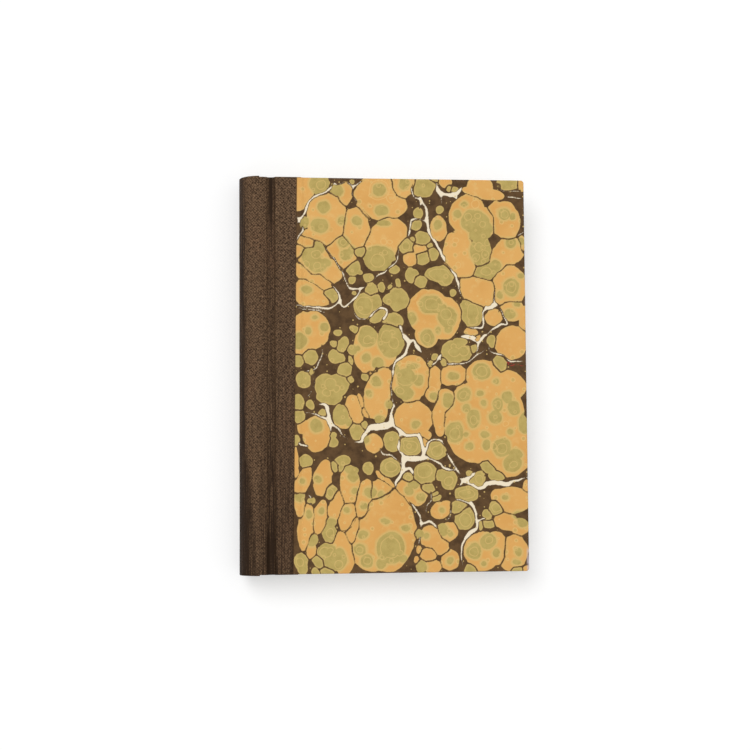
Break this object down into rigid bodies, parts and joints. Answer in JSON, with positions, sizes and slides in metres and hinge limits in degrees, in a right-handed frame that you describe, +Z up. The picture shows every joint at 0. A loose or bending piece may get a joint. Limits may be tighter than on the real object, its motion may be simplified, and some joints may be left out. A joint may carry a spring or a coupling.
{
  "type": "marbled notebook",
  "caption": "Quarter-bound hardback notebook with a dark brown woven cloth spine, marbled paper sides in ochre, olive and brown, and covers that open",
  "frame": {"origin": "Under the middle of the closed book's outline, on the surface that it lies on.", "axes": "+X points from the spine to the fore-edge, +Y from the tail to the head, and +Z up through the front cover, which is the book's thickness."},
  "size_m": [0.1576, 0.2172, 0.0241],
  "materials": {
    "pages": "matt, cream stock",
    "endpaper": "matt, cream stock",
    "mull": "open cotton weave, glued",
    "kraft": "matt",
    "headband": "stitched bead",
    "card": "matt",
    "board": "matt grey board",
    "book_cloth": "plain weave, dark brown, matt",
    "side_paper": "brown ground of the marbling, satin",
    "ochre_ink": "satin",
    "olive_ink": "satin",
    "cream_ink": "satin"
  },
  "bodies": {
    "book_block": {"text_block": "pages", "front_flyleaf": "endpaper", "back_flyleaf": "endpaper", "mull": "mull", "spine_liner": "kraft", "head_band": "headband", "tail_band": "headband", "spine_card": "card", "spine_cloth": "book_cloth"},
    "front_cover": {"front_board": "board", "front_cloth_side": "book_cloth", "front_side_paper": "side_paper", "front_pastedown": "endpaper", "front_ochre_drops": "ochre_ink", "front_olive_drops": "olive_ink", "front_cream_veins": "cream_ink"},
    "back_cover": {"back_board": "board", "back_cloth_side": "book_cloth", "back_side_paper": "side_paper", "back_pastedown": "endpaper", "back_ochre_drops": "ochre_ink", "back_olive_drops": "olive_ink"}
  },
  "joints": [
    {"name": "front_cover_hinge", "type": "hinge", "parent": "book_block", "child": "front_cover", "pos_m": [-0.06163, 0, 0.0239], "axis": [0, -1, 0], "range_deg": [0, 180]},
    {"name": "back_cover_hinge", "type": "hinge", "parent": "book_block", "child": "back_cover", "pos_m": [-0.06163, 0, 0.0002], "axis": [0, 1, 0], "range_deg": [0, 180]}
  ]
}
